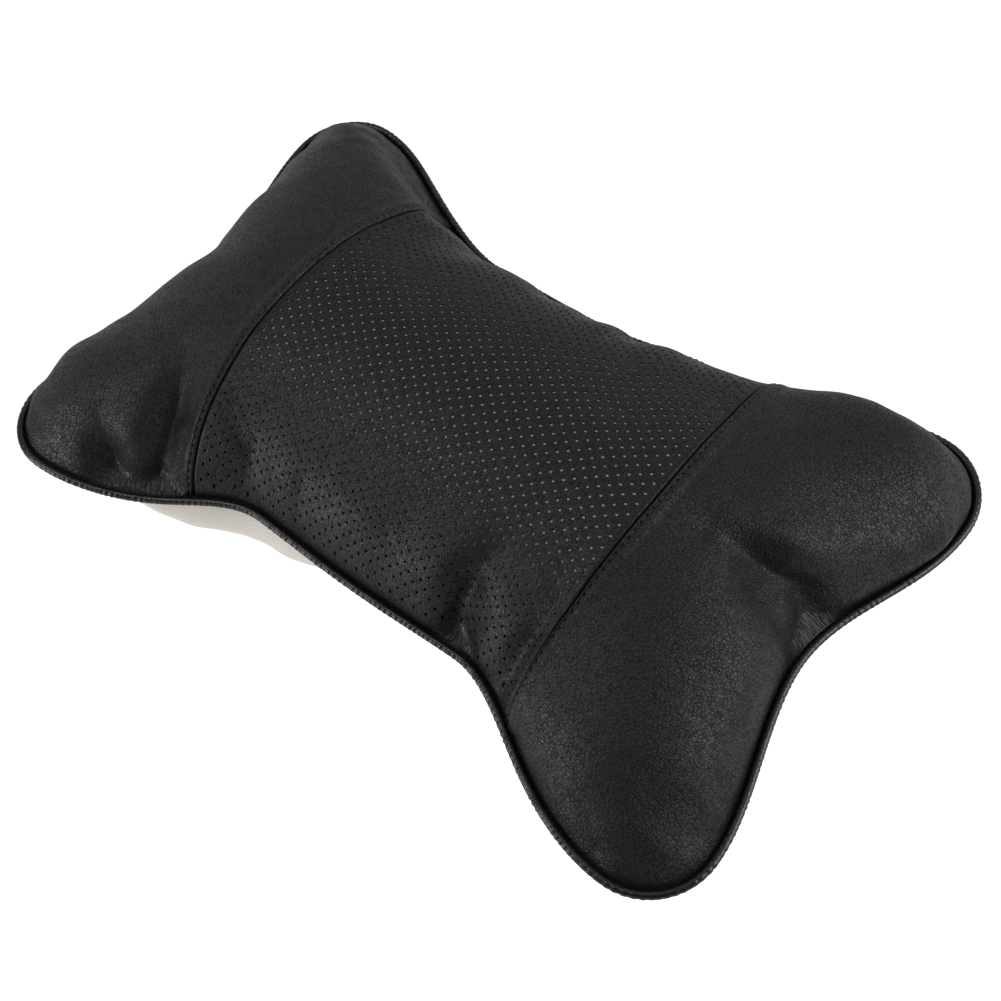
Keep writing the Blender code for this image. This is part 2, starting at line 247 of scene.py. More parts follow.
class Plan:
    """The bone-shaped outline and the grid inside it; u and v run from -1 to 1 over it."""

    def __init__(self, length, width, waist, end, flare, reach_x, reach_y, join, bow):
        self.half_length, self.half_width = length / 2, width / 2
        self.half_waist, self.half_end = waist / 2, end / 2
        self.flare, self.reach_x, self.reach_y = flare, reach_x, reach_y
        self.join, self.bow = join, bow
        self.lobe_x = self.half_length - reach_x
        self.lobe_y = self.half_width - reach_y

    def long_side(self, x):
        t = np.clip((np.abs(x) - self.flare) / (self.lobe_x - self.flare), 0.0, 1.0)
        return self.half_waist + (self.half_width - self.half_waist) * smooth_step(t ** FLARE_POWER)

    def end_side(self, y):
        return self.half_end + (self.half_length - self.half_end) * smooth_step(np.abs(y) / self.lobe_y)

    def corner(self, angle):
        return np.stack([self.lobe_x + self.reach_x * np.cos(angle),
                         self.lobe_y + self.reach_y * np.sin(angle)], -1)

    def join_x(self, v):
        return self.join + self.bow * (1.0 - v ** 2)

    def quarter(self, u, v, join):
        """One quarter of the grid: straight columns out to the join, then fitted to the lobe."""
        samples = 200
        plan = np.zeros((len(u), len(v), 2))
        x = np.outer(u[:join + 1] / u[join], self.join_x(v))
        plan[:join + 1, :, 0] = x
        plan[:join + 1, :, 1] = v * self.long_side(x)
        share = (u[join:] - u[join]) / (1.0 - u[join])
        y = np.linspace(0.0, self.lobe_y, samples)
        side = np.stack([self.end_side(y), y], -1)
        corner = self.corner(np.linspace(0, np.pi / 4, samples))
        finish = resample(np.concatenate([side, corner[1:]]), v)
        start = plan[join].copy()
        plan[join:] = start[None] + (finish - start)[None] * share[:, None, None]
        x = np.linspace(self.join, self.lobe_x, samples)
        side = np.stack([x, self.long_side(x)], -1)
        corner = self.corner(np.linspace(np.pi / 2, np.pi / 4, samples))
        plan[join:, -1] = resample(np.concatenate([side, corner[1:]]), share)
        relax(plan[join:], u[join:] * self.half_length, v * self.half_width)
        return plan

    def grid(self, u, v, join):
        quarter = self.quarter(u, v, join)
        half = np.concatenate([quarter[:0:-1] * (-1.0, 1.0), quarter])
        return np.concatenate([half[:, :0:-1] * (1.0, -1.0), half], 1)


def resample(points, shares):
    """Points at the given shares of the length of a line on the plan."""
    along = np.concatenate([[0.0], np.cumsum(np.hypot(*np.diff(points, axis=0).T))])
    along /= along[-1]
    return np.stack([np.interp(shares, along, points[:, k]) for k in (0, 1)], -1)


def relax(block, s, t):
    """Evens out the inside of a block of the grid whose border stays."""
    left, right = np.diff(s)[:-1, None, None], np.diff(s)[1:, None, None]
    below, above = np.diff(t)[None, :-1, None], np.diff(t)[None, 1:, None]
    across, along = 2 / (left + right), 2 / (below + above)
    total = across * (1 / left + 1 / right) + along * (1 / below + 1 / above)
    for _ in range(RELAX_PASSES):
        in_s = across * (block[:-2, 1:-1] / left + block[2:, 1:-1] / right)
        in_t = along * (block[1:-1, :-2] / below + block[1:-1, 2:] / above)
        block[1:-1, 1:-1] = (in_s + in_t) / total


def edge_ring(columns, rows):
    """Column and row of each point round the border of a grid."""
    front = [(i, 0) for i in range(columns - 1)]
    right = [(columns - 1, j) for j in range(rows - 1)]
    back = [(i, rows - 1) for i in range(columns - 1, 0, -1)]
    left = [(0, j) for j in range(rows - 1, 0, -1)]
    return front + right + back + left


def mirrored(values):
    return np.concatenate([-values[:0:-1], values])


sewn, flat = Plan(*SEWN), Plan(*FLAT)
u_join = sewn.join / sewn.half_length
graded = 1.0 - (1.0 - np.linspace(0, 1, COLUMNS_END + 1)) ** GRADE_U
U = np.concatenate([np.linspace(0, u_join, COLUMNS_CENTRE + 1), (u_join + (1 - u_join) * graded)[1:]])
V = 1.0 - (1.0 - np.linspace(0, 1, ROWS + 1)) ** GRADE_V
SEWN_GRID = sewn.grid(U, V, COLUMNS_CENTRE)
FLAT_GRID = flat.grid(U, V, COLUMNS_CENTRE)
U, V = mirrored(U), mirrored(V)
NC, NR = len(U), len(V)
JOIN_LEFT, JOIN_RIGHT = COLUMNS_END, COLUMNS_END + 2 * COLUMNS_CENTRE
RING = edge_ring(NC, NR)


# The cover, inflated as cloth

def inflate():
    """Sews the flat front and back together along the outline while pressure fills them."""
    crown = ((1 - np.abs(U) ** 8)[:, None] * (1 - V ** 2)[None]).clip(0, 1) ** 0.75 * START_CROWN
    count = NC * NR
    shared = {i * NR + j for i, j in RING}
    lower, points, sewn_points = {}, [], []
    for plan, store in ((FLAT_GRID, points), (SEWN_GRID, sewn_points)):
        store.extend(np.dstack([plan, crown]).reshape(-1, 3))
        for k, point in enumerate(np.dstack([plan, -crown]).reshape(-1, 3)):
            if k in shared:
                lower[k] = k
            else:
                lower[k] = len(store)
                store.append(point)
    faces = []
    for i in range(NC - 1):
        for j in range(NR - 1):
            a = i * NR + j
            quad = (a, a + NR, a + NR + 1, a + 1)
            faces.append(quad)
            faces.append(tuple(lower[k] for k in quad[::-1]))
    mesh = bpy.data.meshes.new("cover_cloth")
    mesh.from_pydata([tuple(map(float, p)) for p in points], [], faces)
    cover = bpy.data.objects.new("cover_cloth", mesh)
    SCENE.collection.objects.link(cover)
    cover.shape_key_add(name="flat")
    key = cover.shape_key_add(name="sewn")
    key.data.foreach_set("co", np.array(sewn_points, np.float32).ravel())
    for value, at in ((0.0, 1), (1.0, SEWN_FRAME)):
        key.value = value
        key.keyframe_insert("value", frame=at)
    seam = cover.vertex_groups.new(name="seam")
    seam.add(sorted(shared), 1.0, "REPLACE")
    cloth = cover.modifiers.new("cloth", "CLOTH")
    settings = cloth.settings
    settings.quality = 6
    settings.mass = 0.1
    settings.tension_stiffness = settings.compression_stiffness = 30
    settings.shear_stiffness = 10
    settings.bending_stiffness = 0.3
    settings.tension_damping = settings.compression_damping = settings.shear_damping = 10
    settings.bending_damping = 1
    settings.air_damping = 2
    settings.use_pressure = True
    settings.uniform_pressure_force = PRESSURE
    settings.vertex_group_mass = "seam"
    settings.pin_stiffness = 1
    settings.effector_weights.gravity = 0
    cloth.collision_settings.use_collision = False
    cloth.collision_settings.use_self_collision = False
    cloth.point_cache.frame_start, cloth.point_cache.frame_end = 1, CLOTH_FRAMES
    SCENE.frame_start, SCENE.frame_end = 1, CLOTH_FRAMES
    for step in range(1, CLOTH_FRAMES + 1):
        SCENE.frame_set(step)
    shaped = cover.evaluated_get(bpy.context.evaluated_depsgraph_get())
    co = np.empty(len(points) * 3)
    shaped.data.vertices.foreach_get("co", co)
    co = co.reshape(-1, 3)
    action = key.id_data.animation_data.action
    bpy.data.objects.remove(cover)
    bpy.data.meshes.remove(mesh)
    bpy.data.actions.remove(action)
    SCENE.frame_set(1)
    return co[:count].reshape(NC, NR, 3), co[[lower[k] for k in range(count)]].reshape(NC, NR, 3)


# Smooth surfaces through the grid

def spline_weights(t, count):
    i = np.clip(np.floor(t).astype(int), 0, count - 2)
    f = t - i
    w = np.stack([(1 - f) ** 3, 3 * f ** 3 - 6 * f ** 2 + 4,
                  -3 * f ** 3 + 3 * f ** 2 + 3 * f + 1, f ** 3], -1) / 6
    return i, w


def spline_coefficients(values):
    """Coefficients, along the first axis, of the cubic spline through the values."""
    n = len(values)
    system = np.zeros((n + 2, n + 2))
    for k in range(n):
        system[k + 1, k:k + 3] = (1 / 6, 4 / 6, 1 / 6)
    system[0, :3] = system[-1, -3:] = (1, -2, 1)
    right = np.zeros((n + 2, values[0].size))
    right[1:-1] = values.reshape(n, -1)
    return np.linalg.solve(system, right).reshape(n + 2, *values.shape[1:])


class Surface:
    """A smooth surface through a grid of points, read at fractional column a and row b."""

    def __init__(self, grid):
        half = spline_coefficients(grid)
        self.c = np.swapaxes(spline_coefficients(np.swapaxes(half, 0, 1)), 0, 1)

    def __call__(self, a, b):
        i, wa = spline_weights(a, NC)
        j, wb = spline_weights(b, NR)
        out = np.zeros((*np.shape(a), self.c.shape[-1]))
        for p in range(4):
            for q in range(4):
                out += (wa[..., p] * wb[..., q])[..., None] * self.c[i + p, j + q]
        return out

    def normal(self, a, b, step=0.02):
        a0, a1 = np.clip(a - step, 0, NC - 1), np.clip(a + step, 0, NC - 1)
        b0, b1 = np.clip(b - step, 0, NR - 1), np.clip(b + step, 0, NR - 1)
        along = self(a1, b) - self(a0, b)
        across = self(a, b1) - self(a, b0)
        n = np.cross(along[..., :3], across[..., :3])
        return n / np.maximum(np.linalg.norm(n, axis=-1, keepdims=True), 1e-12)


def waves(points, wavelength, count, seed):
    """A smooth random field of about unit size, from plane waves."""
    rng = np.random.default_rng(seed)
    total = np.zeros(len(points))
    for _ in range(count):
        direction = rng.normal(size=3)
        direction /= np.linalg.norm(direction)
        length = wavelength * rng.uniform(0.7, 1.5)
        total += np.cos(points @ direction * (2 * np.pi / length) + rng.uniform(0, 2 * np.pi))
    return total * math.sqrt(2.0 / count)


def fold_field(points):
    """Depth of the folds, which deepen along each valley line."""
    depth = np.zeros(len(points))
    for line, fold, left_reach, right_reach in FOLDS:
        line = np.array(line)
        total = np.linalg.norm(np.diff(line, axis=0), axis=1).sum()
        nearest = np.full(len(points), np.inf)
        side, along = np.zeros(len(points)), np.zeros(len(points))
        passed = 0.0
        for start, end in zip(line[:-1], line[1:]):
            run = end - start
            length = np.linalg.norm(run)
            offset = points[:, :2] - start
            share = np.clip(offset @ run / length ** 2, 0, 1)
            away = np.linalg.norm(offset - share[:, None] * run, axis=1)
            turn = (run[0] * offset[:, 1] - run[1] * offset[:, 0]) / length
            closer = away < nearest
            nearest[closer], side[closer] = away[closer], turn[closer]
            along[closer] = (passed + share * length)[closer] / total
            passed += length
        lean = np.clip(side / (nearest + 0.0006), -1, 1)
        near = nearest / ((left_reach + right_reach) / 2 + (left_reach - right_reach) / 2 * lean)
        deepen = FOLD_START + (1 - FOLD_START) * smooth_step(along / FOLD_DEEPENING)
        rim = FOLD_RIM * np.exp(-(near / FOLD_RIM_REACH) ** 2)
        depth += fold * deepen * (FOLD_PEAK * np.exp(-near ** 1.5) - rim)
    return depth


def calmed(grid):
    """The cloth with its finer wrinkles softened, as thick leatherette lies."""
    shift = grid.copy()
    shift[..., :2] -= SEWN_GRID
    smooth = shift.copy()
    for _ in range(CALM_PASSES):
        mean = (smooth[:-2, 1:-1] + smooth[2:, 1:-1] + smooth[1:-1, :-2] + smooth[1:-1, 2:]) / 4
        smooth[1:-1, 1:-1] += CALM_STEP * (mean - smooth[1:-1, 1:-1])
    shift = smooth + WRINKLE_SHARE * (shift - smooth)
    shift[..., :2] += SEWN_GRID
    return shift


def nudge_field(plan):
    shift = np.zeros((*plan.shape[:2], 3))
    for place, move in NUDGES:
        away = np.linalg.norm(plan - np.array(place), axis=-1)
        shift += np.exp(-(away / NUDGE_REACH) ** 2)[..., None] * np.array(move)
    return shift


def swell(grid, places):
    """Pushes out one side of the cover near some places, but not at the seam."""
    free = 1 - np.exp(-np.abs(grid[..., 2]) / SWELL_FADE)
    out = grid.copy()
    for place, reach, move in places:
        away = np.linalg.norm(SEWN_GRID - np.array(place), axis=-1)
        out += (free * np.exp(-(away / reach) ** 2))[..., None] * np.array(move)
    return out


def steepen(z, amount):
    """Raises the part of the cover near the seam, so that its sides stand steeper."""
    share = np.abs(z) / STEEPEN_HEIGHT
    return z + np.sign(z) * amount * share * np.exp(1 - share)


def shaped_covers():
    """The front and back surfaces in the row frame, as the sewn and filled cover lies."""
    front, back = inflate()
    front, back = calmed(front), calmed(back)
    front[..., 2] = steepen(front[..., 2] * FRONT_SCALE, STEEPEN_FRONT)
    back[..., 2] = steepen(back[..., 2], STEEPEN_BACK)
    front, back = swell(front, FRONT_SWELLS), swell(back, BACK_SWELLS)
    back[..., 2] = -smooth_min(-back[..., 2], BACK_DROP, BACK_BLEND)
    shift = nudge_field(SEWN_GRID)
    for grid in (front, back):
        grid += shift
        grid[..., 2] += SEAM_Z
    return Surface(front), Surface(back)


def length_along(line):
    """How far along a line in space each of its points lies."""
    return np.concatenate([[0], np.cumsum(np.linalg.norm(np.diff(line, axis=0), axis=1))])


FRONT, BACK = shaped_covers()
FLAT_MAP = Surface(FLAT_GRID)
SEAM_RING = np.array([FRONT(np.array([float(i)]), np.array([float(j)]))[0] for i, j in RING])
RING_STEPS = 8
edge_tree = KDTree(len(SEAM_RING) * RING_STEPS)
ring_fine = []
for here, following in zip(SEAM_RING, np.roll(SEAM_RING, -1, 0)):
    for step in range(RING_STEPS):
        ring_fine.append(here + (following - here) * step / RING_STEPS)
ring_fine = np.array(ring_fine)
ring_length = length_along(ring_fine)
for k, point in enumerate(ring_fine):
    edge_tree.insert(point, k)
edge_tree.balance()


def seam_distance(points):
    """Distance from the corded seam, and how far round it that is."""
    found = [edge_tree.find(p) for p in points]
    return np.array([f[2] for f in found]), ring_length[[f[1] for f in found]]


def soft_relief(points):
    """Height of folds, gathers at the seam and the leather's slack, along the normal."""
    away, round_seam = seam_distance(points)
    fade = 1 - np.exp(-(away / SEAM_FADE) ** SEAM_FADE_POWER)
    relief = -fold_field(points) * fade
    relief += SLACK_HEIGHT * waves(points, SLACK_WAVE, SLACK_COUNT, SLACK_SEED) * fade
    turn = round_seam * 2 * np.pi
    gather = np.sin(turn / GATHER_PITCH + 1.6 * np.sin(turn / GATHER_DRIFT))
    gather *= 0.5 + 0.5 * np.sin(turn / GATHER_SWELL + 0.7)
    relief += GATHER_HEIGHT * gather * np.exp(-away / GATHER_REACH) * (1 - np.exp(-away / GATHER_START))
    return relief


# Mesh helpers

def new_piece(name, points, faces, material, flat_co=None):
    """A smooth-shaded piece on the body root, with its flat coordinates for the material."""
    mesh = bpy.data.meshes.new(name)
    mesh.from_pydata(np.asarray(points, float).tolist(), [], faces)
    mesh.update()
    mesh.shade_smooth()
    mesh.materials.append(material)
    if flat_co is not None:
        attribute = mesh.attributes.new("flat_co", "FLOAT_VECTOR", "POINT")
        data = np.zeros((len(points), 3), np.float32)
        data[:, :flat_co.shape[1]] = flat_co
        attribute.data.foreach_set("vector", data.ravel())
    piece = bpy.data.objects.new(name, mesh)
    SCENE.collection.objects.link(piece)
    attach(piece, "root")
    return piece


def grid_faces(columns, rows, flip=False, first=0):
    """Quads of a grid of points, the first of which has the given index."""
    i, j = np.meshgrid(np.arange(columns - 1), np.arange(rows - 1), indexing="ij")
    a = (first + i * rows + j).ravel()
    quads = np.stack([a, a + rows, a + rows + 1, a + 1], 1)
    return (quads[:, ::-1] if flip else quads).tolist()


def closed_faces(columns, rows):
    """Faces of a body between two grids of points, the second of which is its underside."""
    first = columns * rows
    faces = grid_faces(columns, rows) + grid_faces(columns, rows, True, first)
    ring = [i * rows + j for i, j in edge_ring(columns, rows)]
    for p, q in zip(ring, ring[1:] + ring[:1]):
        faces.append((first + p, first + q, q, p))
    return faces


def spread(distances, total):
    """The given distances and then even steps up to the total."""
    start = np.array(distances)
    count = max(2, int((total - start[-1]) / PANEL_STEP))
    rest = np.linspace(start[-1], total, count + 1)[1:]
    return np.concatenate([start, rest])


def join_relief(distance, stitched):
    """Height near a join at a distance from it: the edge rolls down into the groove."""
    t = np.clip(distance / JOIN_SHOULDER, 0, 1)
    relief = -JOIN_DEPTH * (1 - np.sqrt(np.clip(1 - (1 - t) ** 2, 0, 1)))
    if stitched:
        fall = smooth_step((distance - RIDGE_TOP) / RIDGE_FALL)
        relief += RIDGE_HEIGHT * (smooth_step(distance / RIDGE_RISE) - fall)
        relief -= GROOVE_DEPTH * np.exp(-((distance - STITCH_OFFSET) / GROOVE_HALF) ** 2)
    return relief


# Materials

def node_material(name):
    material = bpy.data.materials.new(name)
    material.use_nodes = True
    return material, material.node_tree.nodes, material.node_tree.links


def add_node(nodes, kind, **values):
    """A node with its properties and inputs set by name, an underscore standing for a space."""
    node = nodes.new(kind)
    for key, value in values.items():
        if hasattr(node, key):
            setattr(node, key, value)
        else:
            node.inputs[key.replace("_", " ")].default_value = value
    return node


def math_node(nodes, links, operation, first, second=0.5):
    """Output of a Math node on two numbers or sockets; a third input is set by the caller."""
    node = nodes.new("ShaderNodeMath")
    node.operation = operation
    for socket, value in zip(node.inputs, (first, second)):
        if isinstance(value, (int, float)):
            socket.default_value = value
        else:
            links.new(value, socket)
    return node.outputs[0]


def noise_node(nodes, links, place, scale, detail, dimensions="2D"):
    """Noise texture read at the place that a socket gives."""
    noise = add_node(nodes, "ShaderNodeTexNoise", noise_dimensions=dimensions,
                     Scale=scale, Detail=detail)
    links.new(place, noise.inputs["Vector"])
    return noise


def set_tone(nodes, links, shader, first, second, factor):
    """Base colour of a shader, mixed from two colours by a socket."""
    tone = nodes.new("ShaderNodeMix")
    tone.data_type = "RGBA"
    tone.inputs["A"].default_value = (*first, 1)
    tone.inputs["B"].default_value = (*second, 1)
    links.new(factor, tone.inputs["Factor"])
    links.new(tone.outputs["Result"], shader.inputs["Base Color"])


def set_bump(nodes, links, shader, height, strength, distance):
    """Bump of a shader from a socket that gives the height."""
    bump = add_node(nodes, "ShaderNodeBump", Strength=strength, Distance=distance)
    links.new(height, bump.inputs["Height"])
    links.new(bump.outputs[0], shader.inputs["Normal"])


def crease_layer(nodes, links, place, scale, width, strength):
    """Irregular creases round pebbles: 1 in a crease, 0 on a pebble, weaker here and there."""
    cells = add_node(nodes, "ShaderNodeTexVoronoi", voronoi_dimensions="2D",
                     feature="DISTANCE_TO_EDGE", Scale=scale)
    links.new(place, cells.inputs["Vector"])
    crease = add_node(nodes, "ShaderNodeMapRange", interpolation_type="SMOOTHSTEP",
                      From_Max=width, To_Min=1.0, To_Max=0.0)
    links.new(cells.outputs["Distance"], crease.inputs["Value"])
    patches = noise_node(nodes, links, place, scale * 0.45, 1.0)
    share = add_node(nodes, "ShaderNodeMapRange", From_Min=0.32, From_Max=0.62,
                     To_Min=0.55 * strength, To_Max=strength)
    links.new(patches.outputs["Fac"], share.inputs["Value"])
    return math_node(nodes, links, "MULTIPLY", crease.outputs[0], share.outputs[0])


def leather(name, dark, light, rough_low, rough_high, cell, grain, gloss=0.6, shade_share=0.65):
    """Black leatherette with a pebbled grain; its creases are rough, barely glossy and carry painted
    shade: a darker base colour and a dark, matt shader mixed in.

    cell is a pebble's size and grain the depth of a crease, in metres.
    """
    material, nodes, links = node_material(name)
    shader = nodes["Principled BSDF"]
    place = add_node(nodes, "ShaderNodeAttribute", attribute_name="flat_co").outputs["Vector"]
    warp = noise_node(nodes, links, place, 0.8 / cell, 2.0)
    warped = add_node(nodes, "ShaderNodeVectorMath", operation="MULTIPLY_ADD")
    links.new(warp.outputs["Color"], warped.inputs[0])
    warped.inputs[1].default_value = (cell * GRAIN_WARP,) * 3
    links.new(place, warped.inputs[2])
    stretch = add_node(nodes, "ShaderNodeVectorMath", operation="MULTIPLY")
    links.new(warped.outputs[0], stretch.inputs[0])
    stretch.inputs[1].default_value = (GRAIN_STRETCH[0] / cell, GRAIN_STRETCH[1] / cell, 1.0)
    coarse = crease_layer(nodes, links, stretch.outputs[0], *COARSE_CREASES)
    fine = crease_layer(nodes, links, stretch.outputs[0], *FINE_CREASES)
    creases = math_node(nodes, links, "ADD", coarse, fine)
    pores = noise_node(nodes, links, place, 4.0 / cell, 2.0)
    height = math_node(nodes, links, "MULTIPLY_ADD", pores.outputs["Fac"], PORE_HEIGHT)
    links.new(math_node(nodes, links, "MULTIPLY", creases, -1.0), height.node.inputs[2])
    set_bump(nodes, links, shader, height, 1.0, grain)
    # Base colour and roughness: the creases get painted shade (a darker tone) and more roughness; the
    # cloud adds random tone.
    cloud = noise_node(nodes, links, place, 45.0, 3.0)
    amount = math_node(nodes, links, "MULTIPLY_ADD", creases, -0.65)
    shade = math_node(nodes, links, "MULTIPLY_ADD", cloud.outputs["Fac"], 0.5)
    shade.node.inputs[2].default_value = 0.65
    links.new(shade, amount.node.inputs[2])
    set_tone(nodes, links, shader, dark, light, amount)
    rough = add_node(nodes, "ShaderNodeMapRange", From_Min=0.2, From_Max=1.0,
                     To_Min=rough_high, To_Max=rough_low)
    links.new(amount, rough.inputs["Value"])
    links.new(rough.outputs[0], shader.inputs["Roughness"])
    shader.inputs["Specular IOR Level"].default_value = gloss
    # Painted shade in the creases: a dark, matt shader mixed in by the crease mask, standing in for
    # their shadow.
    crease_shade = nodes.new("ShaderNodeBsdfPrincipled")
    crease_shade.inputs["Base Color"].default_value = (*dark, 1)
    crease_shade.inputs["Roughness"].default_value = 0.9
    crease_shade.inputs["Specular IOR Level"].default_value = 0.1
    both = nodes.new("ShaderNodeMixShader")
    links.new(math_node(nodes, links, "MULTIPLY", creases, shade_share), both.inputs[0])
    links.new(shader.outputs[0], both.inputs[1])
    links.new(crease_shade.outputs[0], both.inputs[2])
    links.new(both.outputs[0], nodes["Material Output"].inputs["Surface"])
    return material


def simple(name, colour, other, roughness, scale, bump_height, sheen=0.0):
    """A fibre or thread with mottled colour and fine relief in three dimensions."""
    material, nodes, links = node_material(name)
    shader = nodes["Principled BSDF"]
    place = nodes.new("ShaderNodeTexCoord")
    noise = noise_node(nodes, links, place.outputs["Object"], scale, 4.0, "3D")
    set_tone(nodes, links, shader, colour, other, noise.outputs["Fac"])
    shader.inputs["Roughness"].default_value = roughness
    shader.inputs["Sheen Weight"].default_value = sheen
    set_bump(nodes, links, shader, noise.outputs["Fac"], 0.7, bump_height)
    return material


def woven(name, colour, other, pitch_x, pitch_y, roughness, height):
    """Plain woven cloth: threads over and under each other in the flat coordinates, darker where they
    dip under, a painted shade between the threads.
    """
    material, nodes, links = node_material(name)
    shader = nodes["Principled BSDF"]
    place = add_node(nodes, "ShaderNodeAttribute", attribute_name="flat_co")
    split = nodes.new("ShaderNodeSeparateXYZ")
    links.new(place.outputs["Vector"], split.inputs[0])
    threads = []
    for axis, pitch in ((0, pitch_x), (1, pitch_y)):
        turn = math_node(nodes, links, "MULTIPLY", split.outputs[axis], math.pi / pitch)
        threads.append(math_node(nodes, links, "SINE", turn, 0))
    weave = math_node(nodes, links, "MULTIPLY", *threads)
    over = math_node(nodes, links, "ABSOLUTE", weave, 0)
    noise = noise_node(nodes, links, place.outputs["Vector"], 900.0, 3.0, "3D")
    level = math_node(nodes, links, "MULTIPLY_ADD", noise.outputs["Fac"], 0.5)
    links.new(over, level.node.inputs[2])
    # Painted shade between the threads: the colour follows the weave's height, darker where a thread
    # dips under, plus random tone from the noise.
    set_tone(nodes, links, shader, other, colour, level)
    shader.inputs["Roughness"].default_value = roughness
    shader.inputs["Sheen Weight"].default_value = 0.15
    set_bump(nodes, links, shader, level, 0.8, height)
    return material


# The leatherettes; each paints shade into its grain's creases, the cord's wrap the least.
LEATHER = leather("black_leatherette", (0.006, 0.006, 0.0070), (0.0130, 0.0130, 0.0145),
                  0.34, 0.50, 0.00100, 0.00012)
PERFORATED = leather("black_perforated_leatherette", (0.006, 0.006, 0.0070),
                     (0.0125, 0.0125, 0.0140), 0.36, 0.50, 0.0010, 0.00008)
CORD_WRAP = leather("black_cord_leatherette", (0.004, 0.004, 0.0045), (0.0095, 0.0095, 0.0105),
                    0.20, 0.34, 0.0008, 0.00003, 0.9, 0.4)
THREAD = simple("black_thread", (0.040, 0.040, 0.042), (0.090, 0.090, 0.094), 0.40, 2500.0, 0.00004)
CREAM = woven("cream_weave", (0.93, 0.88, 0.81), (0.82, 0.76, 0.67), 0.00045, 0.00045, 0.85, 0.00006)
FIBRE = simple("white_fibre_fill", (0.90, 0.90, 0.89), (0.97, 0.97, 0.96), 0.9, 700.0, 0.0002, 0.2)
ELASTIC = woven("black_elastic_weave", (0.022, 0.022, 0.024), (0.010, 0.010, 0.011),
                0.0012, 0.0005, 0.75, 0.0001)


# Panels

def end_panel(name, sign, node):
    """One end of the front, from its join to the corded seam."""
    middle = (NR - 1) / 2
    start = JOIN_RIGHT if sign > 0 else JOIN_LEFT
    last = NC - 1 if sign > 0 else 0
    samples = 400
    fine = np.linspace(start, last, samples)
    along = np.abs(FLAT_MAP(fine, np.full(samples, middle))[:, 0]) - flat.join
    a = np.interp(spread(np.array(NEAR_JOIN_MM) / 1000, along[-1]), along, fine)
    b = np.linspace(0, NR - 1, PANEL_ROWS)
    aa, bb = (x.ravel() for x in np.meshgrid(a, b, indexing="ij"))
    flat_co = FLAT_MAP(aa, bb)
    points = FRONT(aa, bb)
    normal = FRONT.normal(aa, bb)
    distance = np.maximum(np.abs(flat_co[:, 0]) - flat.join, 0)
    relief = soft_relief(points) + join_relief(distance, True)
    points = points + normal * relief[:, None]
    faces = grid_faces(len(a), PANEL_ROWS, flip=sign < 0)
    piece = new_piece(name, points, faces, LEATHER, flat_co)
    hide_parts(node)


def flat_to_grid(x, y):
    """Grid column and row of points given in the flat centre panel."""
    a = JOIN_LEFT + (x / flat.join + 1) * COLUMNS_CENTRE
    v = y / flat.long_side(x)
    return a, np.interp(v, V, np.arange(NR))


